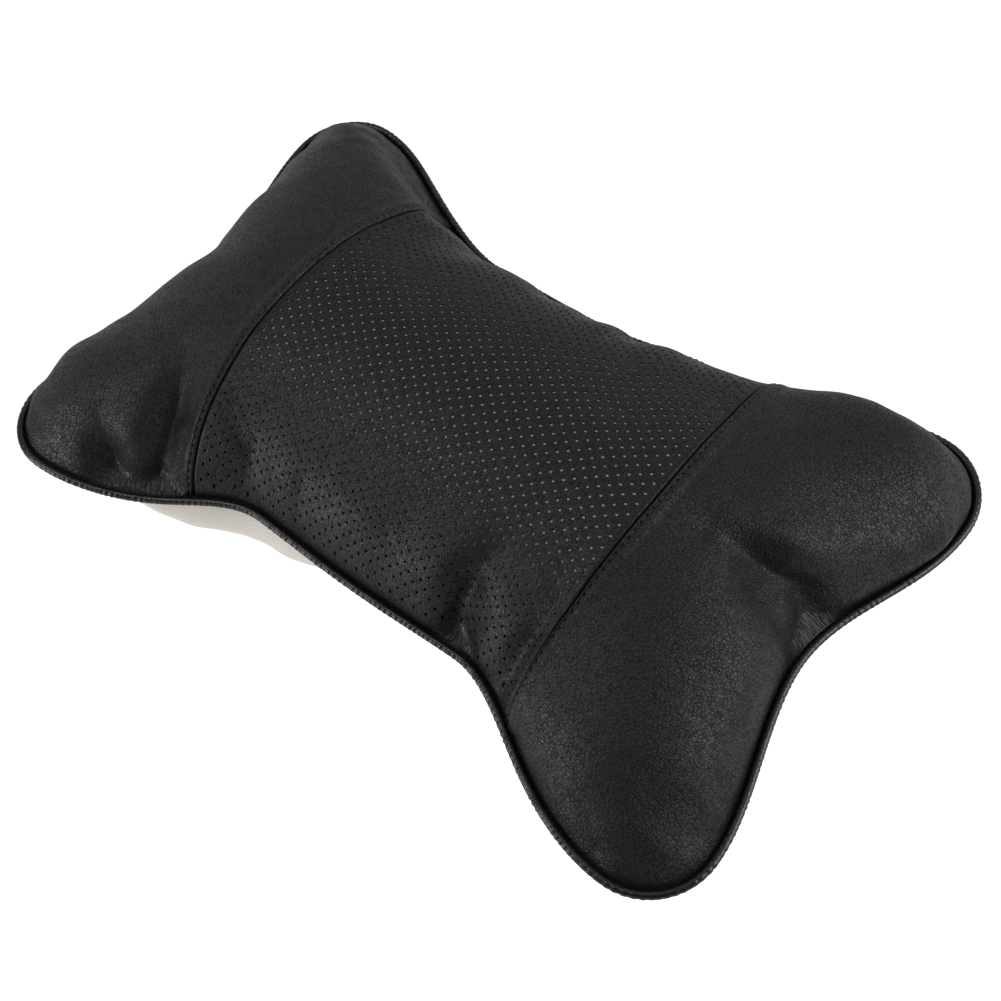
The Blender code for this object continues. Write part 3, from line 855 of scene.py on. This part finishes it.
def centre_panel():
    """The perforated middle of the front: each hole is open, with its own wall."""
    join, margin = flat.join, HOLE_MARGIN_JOIN
    holes = []
    rows = int(flat.half_width / (HOLE_PITCH_Y / 2)) + 1
    for row in range(-rows, rows + 1):
        y = row * HOLE_PITCH_Y / 2
        for column in range(-HOLE_COLUMNS, HOLE_COLUMNS + 1):
            x = (column + (0.5 if row % 2 else 0.0)) * HOLE_PITCH_X
            if abs(x) < join - margin and abs(y) < flat.long_side(x) - HOLE_MARGIN_EDGE:
                holes.append((x, y))
    holes = np.array(holes)
    angles = (np.arange(HOLE_SIDES) + 0.5) * 2 * np.pi / HOLE_SIDES
    circle = np.stack([np.cos(angles), np.sin(angles)], -1)
    rim = (holes[:, None] + circle * HOLE_RADIUS).reshape(-1, 2)
    lip = (holes[:, None] + circle * HOLE_RADIUS * HOLE_LIP).reshape(-1, 2)
    around = (holes[:, None] + circle * HOLE_RADIUS * HOLE_AROUND).reshape(-1, 2)
    between = holes + (HOLE_PITCH_X / 2, 0)
    samples = 150
    steps = np.linspace(-1, 1, samples)
    strips = []
    for d in JOIN_STRIPS_MM:
        x = join - d / 1000
        y = steps[1:-1] * flat.long_side(x)
        strips += [np.stack([np.full_like(y, s * x), y], -1) for s in (-1, 1)]
    x = steps[2:-2] * (join - 0.0004)
    for d in EDGE_STRIPS_MM:
        strips += [np.stack([x, s * (flat.long_side(x) - d / 1000)], -1) for s in (-1, 1)]
    extra = np.concatenate([between] + strips)
    inner_x = np.abs(extra[:, 0]) < join - 0.0001
    inner_y = np.abs(extra[:, 1]) < flat.long_side(extra[:, 0]) - 0.0002
    extra = extra[inner_x & inner_y]
    clear = [np.min(np.hypot(*(holes - p).T)) > HOLE_RADIUS * HOLE_CLEAR for p in extra]
    extra = extra[np.array(clear)]
    side = np.stack([steps * join, flat.long_side(steps * join)], -1)
    end = np.stack([np.full(samples, join), steps * flat.long_side(join)], -1)
    outline = np.concatenate([side[:-1] * (1, -1), end[:-1], side[:0:-1], (end * (-1, 1))[:0:-1]])
    cloud = np.concatenate([rim, lip, around, extra, outline])
    count = len(holes)
    ring = np.arange(count * HOLE_SIDES).reshape(count, HOLE_SIDES)
    edges = np.stack([ring, np.roll(ring, -1, 1)], -1).reshape(-1, 2)
    first = len(cloud) - len(outline)
    border = np.arange(first, len(cloud))
    edges = np.concatenate([edges, np.stack([border, np.roll(border, -1)], -1)])
    scaled = [Vector(p) for p in (cloud * 1000).tolist()]
    verts, _, faces, origin, _, _ = delaunay_2d_cdt(scaled, edges.tolist(), [], 1, 1e-5)
    flat_co = np.array([tuple(p) for p in verts]) / 1000
    faces = np.array([f for f in faces if len(f) == 3])
    source = np.array([o[0] if o else -1 for o in origin])
    hole_of = np.where((source >= 0) & (source < count * HOLE_SIDES), source // HOLE_SIDES, -1)
    inside = (hole_of[faces[:, 0]] >= 0) & (hole_of[faces[:, 0]] == hole_of[faces[:, 1]])
    inside &= hole_of[faces[:, 0]] == hole_of[faces[:, 2]]
    faces = faces[~inside]
    a, b = flat_to_grid(flat_co[:, 0], flat_co[:, 1])
    points = FRONT(a, b)
    normal = FRONT.normal(a, b)
    distance = np.maximum(flat.join - np.abs(flat_co[:, 0]), 0)
    relief = soft_relief(points) + join_relief(distance, False)
    relief[hole_of >= 0] -= HOLE_DIP
    points = points + normal * relief[:, None]
    place_of = {s: k for k, s in enumerate(source)}
    top = np.array([place_of[s] for s in range(count * HOLE_SIDES)])
    below = points[top] - normal[top] * SKIN
    start = len(points)
    lower = np.arange(start, start + len(top)).reshape(count, HOLE_SIDES)
    top = top.reshape(count, HOLE_SIDES)
    walls = np.stack([top, lower, np.roll(lower, -1, 1), np.roll(top, -1, 1)], -1).reshape(-1, 4)
    points = np.concatenate([points, below])
    flat_all = np.concatenate([flat_co, flat_co[top.ravel()]])
    piece = new_piece("centre_skin", points, faces.tolist() + walls.tolist(), PERFORATED, flat_all)
    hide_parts("centre_panel")


def back_panel():
    """The cream back, in one piece."""
    a = np.linspace(0, NC - 1, (NC - 1) * BACK_CELLS + 1)
    b = np.linspace(0, NR - 1, (NR - 1) * BACK_CELLS + 1)
    aa, bb = (x.ravel() for x in np.meshgrid(a, b, indexing="ij"))
    points = BACK(aa, bb)
    points[:, 2] -= SEAT_GAP / 2
    flat_co = FLAT_MAP(aa, bb)
    piece = new_piece("back_skin", points, grid_faces(len(a), len(b), flip=True), CREAM, flat_co)
    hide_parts("back_panel")


def filling():
    """White fibre close under the holes."""
    a = np.linspace(FILL_INSET, NC - 1 - FILL_INSET, (NC - 1) * 3 + 1)
    b = np.linspace(FILL_INSET, NR - 1 - FILL_INSET, (NR - 1) * 3 + 1)
    aa, bb = (x.ravel() for x in np.meshgrid(a, b, indexing="ij"))
    upper = FRONT(aa, bb)
    away, _ = seam_distance(upper)
    past_join = np.abs(FLAT_MAP(aa, bb)[:, 0]) - flat.join
    depth = SKIN + FIBRE_AT_JOIN * (1 - smooth_step(np.abs(past_join) / FIBRE_JOIN_REACH))
    depth += FIBRE_AT_SEAM * (1 - smooth_step(away / FIBRE_SEAM_REACH))
    depth += FIBRE_AT_FRONT * smooth_step((FIBRE_FRONT_Y - upper[:, 1]) / FIBRE_FRONT_REACH)
    depth[past_join > 0] += FIBRE_UNDER_ENDS
    upper = upper + FRONT.normal(aa, bb) * (soft_relief(upper) - depth)[:, None]
    lower = BACK(aa, bb)
    lower = lower + BACK.normal(aa, bb) * FIBRE_OFF_BACK
    points = np.concatenate([upper, lower])
    piece = new_piece("filling_fibre", points, closed_faces(len(a), len(b)), FIBRE)
    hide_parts("filling")


# Trim

def tube(path, radii, sides, closed, across):
    """Points and faces of a tube along a path; across is each ring's first direction."""
    count = len(path)
    tangent = np.roll(path, -1, 0) - np.roll(path, 1, 0) if closed else np.gradient(path, axis=0)
    tangent /= np.linalg.norm(tangent, axis=1, keepdims=True)
    across = across - (across * tangent).sum(1, keepdims=True) * tangent
    across /= np.linalg.norm(across, axis=1, keepdims=True)
    other = np.cross(tangent, across)
    angle = np.arange(sides) * 2 * np.pi / sides
    cosine, sine = np.cos(angle)[None, :, None], np.sin(angle)[None, :, None]
    rings = across[:, None] * cosine + other[:, None] * sine
    points = path[:, None] + rings * radii[..., None]
    faces = []
    last = count if closed else count - 1
    for i in range(last):
        k, m = i * sides, ((i + 1) % count) * sides
        for j in range(sides):
            n = (j + 1) % sides
            faces.append((k + j, k + n, m + n, m + j))
    return points.reshape(-1, 3), faces


def seam_line(step):
    """Evenly spaced points round the corded seam, the outward direction and how far round each is."""
    count = int(ring_length[-1] / step)
    n = len(SEAM_RING)
    dense = np.linspace(0, n, n * 12 + 1)
    i = np.floor(dense).astype(int)
    f = (dense - i)[:, None]
    p = [SEAM_RING[(i + k) % n] for k in (-1, 0, 1, 2)]
    smooth = ((2 * p[1]) + (p[2] - p[0]) * f + (2 * p[0] - 5 * p[1] + 4 * p[2] - p[3]) * f ** 2
              + (3 * p[1] - p[0] - 3 * p[2] + p[3]) * f ** 3) / 2
    along = length_along(smooth)
    at = np.linspace(0, along[-1], count + 1)[:-1]
    line = np.stack([np.interp(at, along, smooth[:, k]) for k in range(3)], -1)
    tangent = np.roll(line, -3, 0) - np.roll(line, 3, 0)
    outward = np.cross(tangent, (0, 0, 1.0))
    outward /= np.linalg.norm(outward, axis=1, keepdims=True)
    return line, outward, at


def piping():
    """Cord in a leatherette wrap, finely puckered, and the flange that is caught in the seam."""
    line, outward, at = seam_line(PIPING_STEP)
    sides = PIPING_SIDES
    centre = line + outward * (PIPING_RADIUS + SEAT_GAP)
    rng = np.random.default_rng(3)
    pucker = np.zeros(len(at))
    total = at[-1] + at[1]
    for turns in rng.integers(*PUCKER_TURNS, PUCKER_WAVES):
        pucker += np.cos(2 * np.pi * turns * at / total + rng.uniform(0, 6.3))
    pucker *= math.sqrt(2 / PUCKER_WAVES)
    angle = np.arange(sides) * 2 * np.pi / sides
    skew = 0.5 + 0.5 * np.cos(angle)
    radii = PIPING_RADIUS * (1 + PUCKER_SHARE * pucker[:, None] * (0.6 + 0.4 * skew[None]))
    points, faces = tube(centre, radii, sides, True, outward)
    strips = [line - outward * FLANGE_IN, line + outward * FLANGE_OUT]
    flange = np.concatenate([s + (0, 0, z) for s in strips for z in (FLANGE_HALF, -FLANGE_HALF)])
    n, base = len(line), len(points)
    for p in range(n):
        q = (p + 1) % n
        for r, s in ((0, 2), (2, 3), (3, 1)):
            faces.append((base + r * n + p, base + s * n + p, base + s * n + q, base + r * n + q))
    points = np.concatenate([points, flange])
    flat_co = np.zeros((len(points), 2))
    flat_co[:len(centre) * sides, 0] = np.repeat(at, sides)
    flat_co[:len(centre) * sides, 1] = np.tile(angle * PIPING_RADIUS, len(centre))
    piece = new_piece("piping_cord", points, faces, CORD_WRAP, flat_co)
    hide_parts("piping")


def topstitch(name, sign):
    """A row of stitches along a join, on the end panel."""
    start = JOIN_RIGHT if sign > 0 else JOIN_LEFT
    step = 0.01 * sign
    samples = 600
    b = np.linspace(0.15, NR - 1.15, samples)
    a = np.full(samples, float(start))
    for _ in range(4):
        here = np.abs(FLAT_MAP(a, b)[:, 0]) - flat.join
        slope = (np.abs(FLAT_MAP(a + step, b)[:, 0]) - flat.join - here) / step
        a = a + (STITCH_OFFSET - here) / slope
    base, normal = FRONT(a, b), FRONT.normal(a, b)
    groove = join_relief(np.full(samples, STITCH_OFFSET), True)
    line = base + normal * (soft_relief(base) + groove + 0.0001)[:, None]
    along = length_along(line)
    points, faces, total = [], [], 0
    t = np.linspace(-1, 1, 9)
    for middle in np.arange(STITCH_PITCH, along[-1] - STITCH_PITCH, STITCH_PITCH):
        at = middle + t * STITCH_LENGTH / 2
        path = np.stack([np.interp(at, along, line[:, k]) for k in range(3)], -1)
        up = np.stack([np.interp(at, along, normal[:, k]) for k in range(3)], -1)
        path = path + up * (STITCH_LIFT - STITCH_DIVE * np.abs(t) ** 5)[:, None]
        radii = THREAD_RADIUS * np.sqrt(np.clip(1 - np.abs(t) ** 8, 0.15, 1))
        p, f = tube(path, np.repeat(radii[:, None], THREAD_SIDES, 1), THREAD_SIDES, False, up)
        faces += [tuple(k + total for k in face) for face in f]
        total += len(p)
        points.append(p)
    piece = new_piece(name, np.concatenate(points), faces, THREAD)


def strap():
    """A flat elastic band along the back."""
    half = STRAP_HALF_WIDTH
    n, m = STRAP_GRID
    middle = (NR - 1) / 2
    samples = 800
    fine = np.linspace(0, NC - 1, samples)
    x_of = BACK(fine, np.full(samples, middle))[:, 0]
    low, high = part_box("elastic_strap")
    x = np.linspace(low.x, high.x, n)
    a = np.interp(x, x_of, fine)
    y = np.linspace(-half, half, m)
    rows = np.arange(NR)
    xx, yy = (q.ravel() for q in np.meshgrid(x, y, indexing="ij"))
    aa = np.repeat(a, m)
    y_table = np.stack([BACK(a, np.full(n, float(r)))[:, 1] for r in rows], 1)
    bb = np.concatenate([np.interp(y, y_table[k], rows) for k in range(n)])
    surface, normal = BACK(aa, bb), -BACK.normal(aa, bb)
    rib = RIB_HEIGHT * np.cos(yy * 2 * np.pi / RIB_PITCH)
    edge = SELVEDGE_THINNING * smooth_step((np.abs(yy) - half + SELVEDGE_WIDTH) / SELVEDGE_WIDTH)
    upper = surface + normal * (SEAT_GAP + STRAP_SKIN_GAP)
    lower = surface + normal * (SEAT_GAP + STRAP_THICKNESS - edge + rib - STRAP_SKIN_GAP)[:, None]
    points = np.concatenate([upper, lower])
    flat_co = np.stack([np.tile(xx, 2), np.tile(yy, 2)], -1)
    piece = new_piece("strap_band", points, closed_faces(n, m), ELASTIC, flat_co)
    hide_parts("elastic_strap")


end_panel("left_end_skin", -1, "left_end_panel")
end_panel("right_end_skin", 1, "right_end_panel")
centre_panel()
back_panel()
filling()
piping()
topstitch("left_topstitch", -1)
topstitch("right_topstitch", 1)
strap()


# Floor, light and camera

def seen_directly(nodes, links):
    """A Light Path node, and a socket that is 1 for camera and transmission rays."""
    path = nodes.new("ShaderNodeLightPath")
    rays = path.outputs["Is Camera Ray"], path.outputs["Is Transmission Ray"]
    return path, math_node(nodes, links, "MAXIMUM", *rays)


def studio():
    """A pale floor that keeps the shadow, white beyond it, and the soft lamps."""
    mesh = bpy.data.meshes.new("floor")
    corners = [(x * FLOOR_HALF, y * FLOOR_HALF, 0) for x, y in ((-1, -1), (1, -1), (1, 1), (-1, 1))]
    mesh.from_pydata(corners, [], [(0, 1, 2, 3)])
    floor = bpy.data.objects.new("floor", mesh)
    SCENE.collection.objects.link(floor)
    material, nodes, links = node_material("pale_floor")
    nodes.remove(nodes["Principled BSDF"])
    diffuse = add_node(nodes, "ShaderNodeBsdfDiffuse", Color=FLOOR_COLOUR)
    glow = add_node(nodes, "ShaderNodeEmission", Color=(1, 1, 1, 1))
    both = nodes.new("ShaderNodeAddShader")
    path, seen = seen_directly(nodes, links)
    bounce = math_node(nodes, links, "MULTIPLY", path.outputs["Is Diffuse Ray"], FLOOR_BOUNCE)
    shine = math_node(nodes, links, "MULTIPLY_ADD", path.outputs["Is Glossy Ray"], FLOOR_SHINE)
    links.new(bounce, shine.node.inputs[2])
    place = nodes.new("ShaderNodeTexCoord")
    away = add_node(nodes, "ShaderNodeVectorMath", operation="LENGTH")
    links.new(place.outputs["Object"], away.inputs[0])
    level = add_node(nodes, "ShaderNodeMapRange", From_Min=GLOW_NEAR, From_Max=GLOW_FAR,
                     To_Min=FLOOR_GLOW, To_Max=1.0)
    links.new(away.outputs["Value"], level.inputs["Value"])
    strength = math_node(nodes, links, "MULTIPLY_ADD", seen, level.outputs[0])
    links.new(shine, strength.node.inputs[2])
    links.new(strength, glow.inputs["Strength"])
    links.new(diffuse.outputs[0], both.inputs[0])
    links.new(glow.outputs[0], both.inputs[1])
    links.new(both.outputs[0], nodes["Material Output"].inputs["Surface"])
    mesh.materials.append(material)

    world = bpy.data.worlds.new("studio")
    SCENE.world = world
    world.use_nodes = True
    nodes, links = world.node_tree.nodes, world.node_tree.links
    background = nodes["Background"]
    background.inputs["Color"].default_value = (1, 1, 1, 1)
    _, seen = seen_directly(nodes, links)
    strength = math_node(nodes, links, "MULTIPLY_ADD", seen, 1.0 - AMBIENT)
    strength.node.inputs[2].default_value = AMBIENT
    links.new(strength, background.inputs["Strength"])

    for name, place, size, energy in LAMPS:
        light = bpy.data.lights.new(name, "AREA")
        light.energy, light.size = energy, size
        lamp = bpy.data.objects.new(name, light)
        SCENE.collection.objects.link(lamp)
        lamp.location = place
        lamp.rotation_euler = (-Vector(place)).to_track_quat("-Z", "Y").to_euler()


def camera():
    """The photograph's view, as fitted to its outline and joins."""
    azimuth, elevation, distance, roll, focal, tx, ty = CAMERA
    az, el, roll = math.radians(azimuth), math.radians(elevation), math.radians(roll)
    back = Vector((math.sin(az) * math.cos(el), -math.cos(az) * math.cos(el), math.sin(el)))
    right = (-back).cross(Vector((0, 0, 1))).normalized()
    up = right.cross(-back)
    level = right * math.cos(roll) + up * math.sin(roll)
    upright = up * math.cos(roll) - right * math.sin(roll)
    matrix = Matrix((level, upright, back)).transposed().to_4x4()
    matrix.translation = Vector((tx, ty, SEAM_Z)) + back * distance
    data = bpy.data.cameras.new("camera")
    data.sensor_width = SENSOR_MM
    data.lens = focal / IMAGE_WIDTH * SENSOR_MM
    view = bpy.data.objects.new("camera", data)
    view.matrix_world = matrix
    SCENE.collection.objects.link(view)
    bpy.context.scene.camera = view


studio()
camera()
bpy.context.scene.view_settings.view_transform = "Standard"
